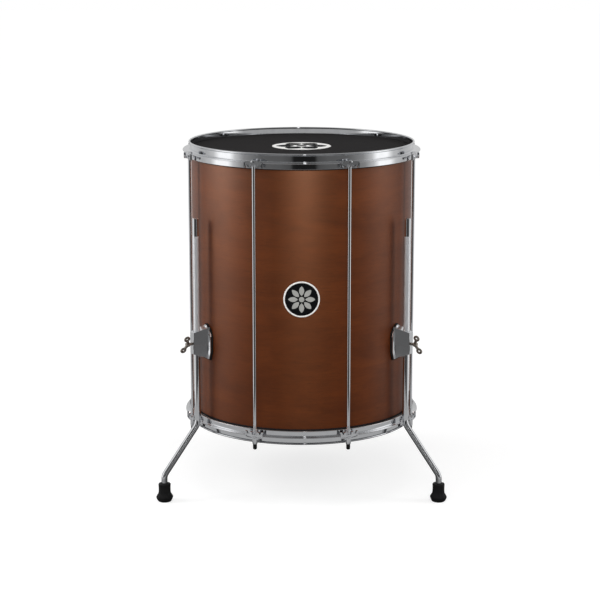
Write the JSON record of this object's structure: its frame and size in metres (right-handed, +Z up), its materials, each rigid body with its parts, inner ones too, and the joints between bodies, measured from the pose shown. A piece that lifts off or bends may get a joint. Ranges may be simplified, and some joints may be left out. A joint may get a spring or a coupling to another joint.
{
  "type": "surdo",
  "caption": "Deep wooden bass drum with stretched skins, pressed steel hoops, hoop-to-hoop tension rods and sliding legs clamped in side brackets.",
  "frame": {"origin": "on the floor under the middle of the whole drum on its legs", "axes": "+Z up along the drum's axis, the badge faces -Y, the single rear leg is towards +Y"},
  "size_m": [0.5976, 0.5974, 0.724],
  "materials": {
    "stained_wood": "satin reddish brown stain over fine horizontal grain",
    "chrome": "bright polished chrome plate",
    "nickel": "warm bright nickel",
    "aluminium": "bare extruded aluminium",
    "zinc_steel": "zinc-plated steel",
    "black_skin": "matt black synthetic leather drum skin",
    "black_rubber": "matt black rubber",
    "white_print": "matt off-white",
    "badge_black": "gloss black enamel"
  },
  "bodies": {
    "drum": {"shell": "stained_wood", "top_head": "black_skin", "bottom_head": "black_skin", "top_flesh_hoop": "aluminium", "bottom_flesh_hoop": "aluminium", "top_hoop": "chrome", "bottom_hoop": "chrome", "head_patch": "white_print", "badge_rim": "white_print", "badge_face": "badge_black", "tension_rod_1": "chrome", "top_claw_1": "chrome", "bottom_claw_1": "chrome", "tension_rod_2": "chrome", "top_claw_2": "chrome", "bottom_claw_2": "chrome", "tension_rod_3": "chrome", "top_claw_3": "chrome", "bottom_claw_3": "chrome", "tension_rod_4": "chrome", "top_claw_4": "chrome", "bottom_claw_4": "chrome", "tension_rod_5": "chrome", "top_claw_5": "chrome", "bottom_claw_5": "chrome", "tension_rod_6": "chrome", "top_claw_6": "chrome", "bottom_claw_6": "chrome", "tension_rod_7": "chrome", "top_claw_7": "chrome", "bottom_claw_7": "chrome", "tension_rod_8": "chrome", "top_claw_8": "chrome", "bottom_claw_8": "chrome", "leg_bracket_1": "chrome", "bracket_gasket_1": "black_rubber", "bracket_fixing_1": "zinc_steel", "leg_bracket_2": "chrome", "bracket_gasket_2": "black_rubber", "bracket_fixing_2": "zinc_steel", "leg_bracket_3": "chrome", "bracket_gasket_3": "black_rubber", "bracket_fixing_3": "zinc_steel"},
    "nut_1": {"tension_nut_1": "chrome"},
    "nut_2": {"tension_nut_2": "chrome"},
    "nut_3": {"tension_nut_3": "chrome"},
    "nut_4": {"tension_nut_4": "chrome"},
    "nut_5": {"tension_nut_5": "chrome"},
    "nut_6": {"tension_nut_6": "chrome"},
    "nut_7": {"tension_nut_7": "chrome"},
    "nut_8": {"tension_nut_8": "chrome"},
    "leg_1": {"leg_1": "chrome", "foot_1": "black_rubber"},
    "leg_2": {"leg_2": "chrome", "foot_2": "black_rubber"},
    "leg_3": {"leg_3": "chrome", "foot_3": "black_rubber"},
    "wing_bolt_1": {"wing_bolt_1": "nickel"},
    "wing_bolt_2": {"wing_bolt_2": "nickel"},
    "wing_bolt_3": {"wing_bolt_3": "nickel"}
  },
  "joints": [
    {"name": "nut_1_turn", "type": "hinge", "parent": "drum", "child": "nut_1", "pos_m": [0.09399, -0.27951, 0.1423], "axis": [0, 0, 1], "continuous": true},
    {"name": "nut_2_turn", "type": "hinge", "parent": "drum", "child": "nut_2", "pos_m": [0.2269, -0.14659, 0.1423], "axis": [0, 0, 1], "continuous": true},
    {"name": "nut_3_turn", "type": "hinge", "parent": "drum", "child": "nut_3", "pos_m": [0.2269, 0.04139, 0.1423], "axis": [0, 0, 1], "continuous": true},
    {"name": "nut_4_turn", "type": "hinge", "parent": "drum", "child": "nut_4", "pos_m": [0.09399, 0.1743, 0.1423], "axis": [0, 0, 1], "continuous": true},
    {"name": "nut_5_turn", "type": "hinge", "parent": "drum", "child": "nut_5", "pos_m": [-0.09399, 0.1743, 0.1423], "axis": [0, 0, 1], "continuous": true},
    {"name": "nut_6_turn", "type": "hinge", "parent": "drum", "child": "nut_6", "pos_m": [-0.2269, 0.04139, 0.1423], "axis": [0, 0, 1], "continuous": true},
    {"name": "nut_7_turn", "type": "hinge", "parent": "drum", "child": "nut_7", "pos_m": [-0.2269, -0.14659, 0.1423], "axis": [0, 0, 1], "continuous": true},
    {"name": "nut_8_turn", "type": "hinge", "parent": "drum", "child": "nut_8", "pos_m": [-0.09399, -0.27951, 0.1423], "axis": [0, 0, 1], "continuous": true},
    {"name": "leg_1_slide", "type": "slide", "parent": "drum", "child": "leg_1", "axis": [0, 0, 1], "range_m": [-0.2, 0.11]},
    {"name": "leg_2_slide", "type": "slide", "parent": "drum", "child": "leg_2", "axis": [0, 0, 1], "range_m": [-0.2, 0.11]},
    {"name": "leg_3_slide", "type": "slide", "parent": "drum", "child": "leg_3", "axis": [0, 0, 1], "range_m": [-0.2, 0.11]},
    {"name": "wing_bolt_1_turn", "type": "hinge", "parent": "drum", "child": "wing_bolt_1", "pos_m": [-0.2294, -0.19875, 0.323], "axis": [-0.8434, -0.5373, 0], "continuous": true},
    {"name": "wing_bolt_2_turn", "type": "hinge", "parent": "drum", "child": "wing_bolt_2", "pos_m": [0.2294, -0.19875, 0.323], "axis": [0.8434, -0.5373, 0], "continuous": true},
    {"name": "wing_bolt_3_turn", "type": "hinge", "parent": "drum", "child": "wing_bolt_3", "pos_m": [0, 0.2194, 0.323], "axis": [0, 1, 0], "continuous": true}
  ]
}
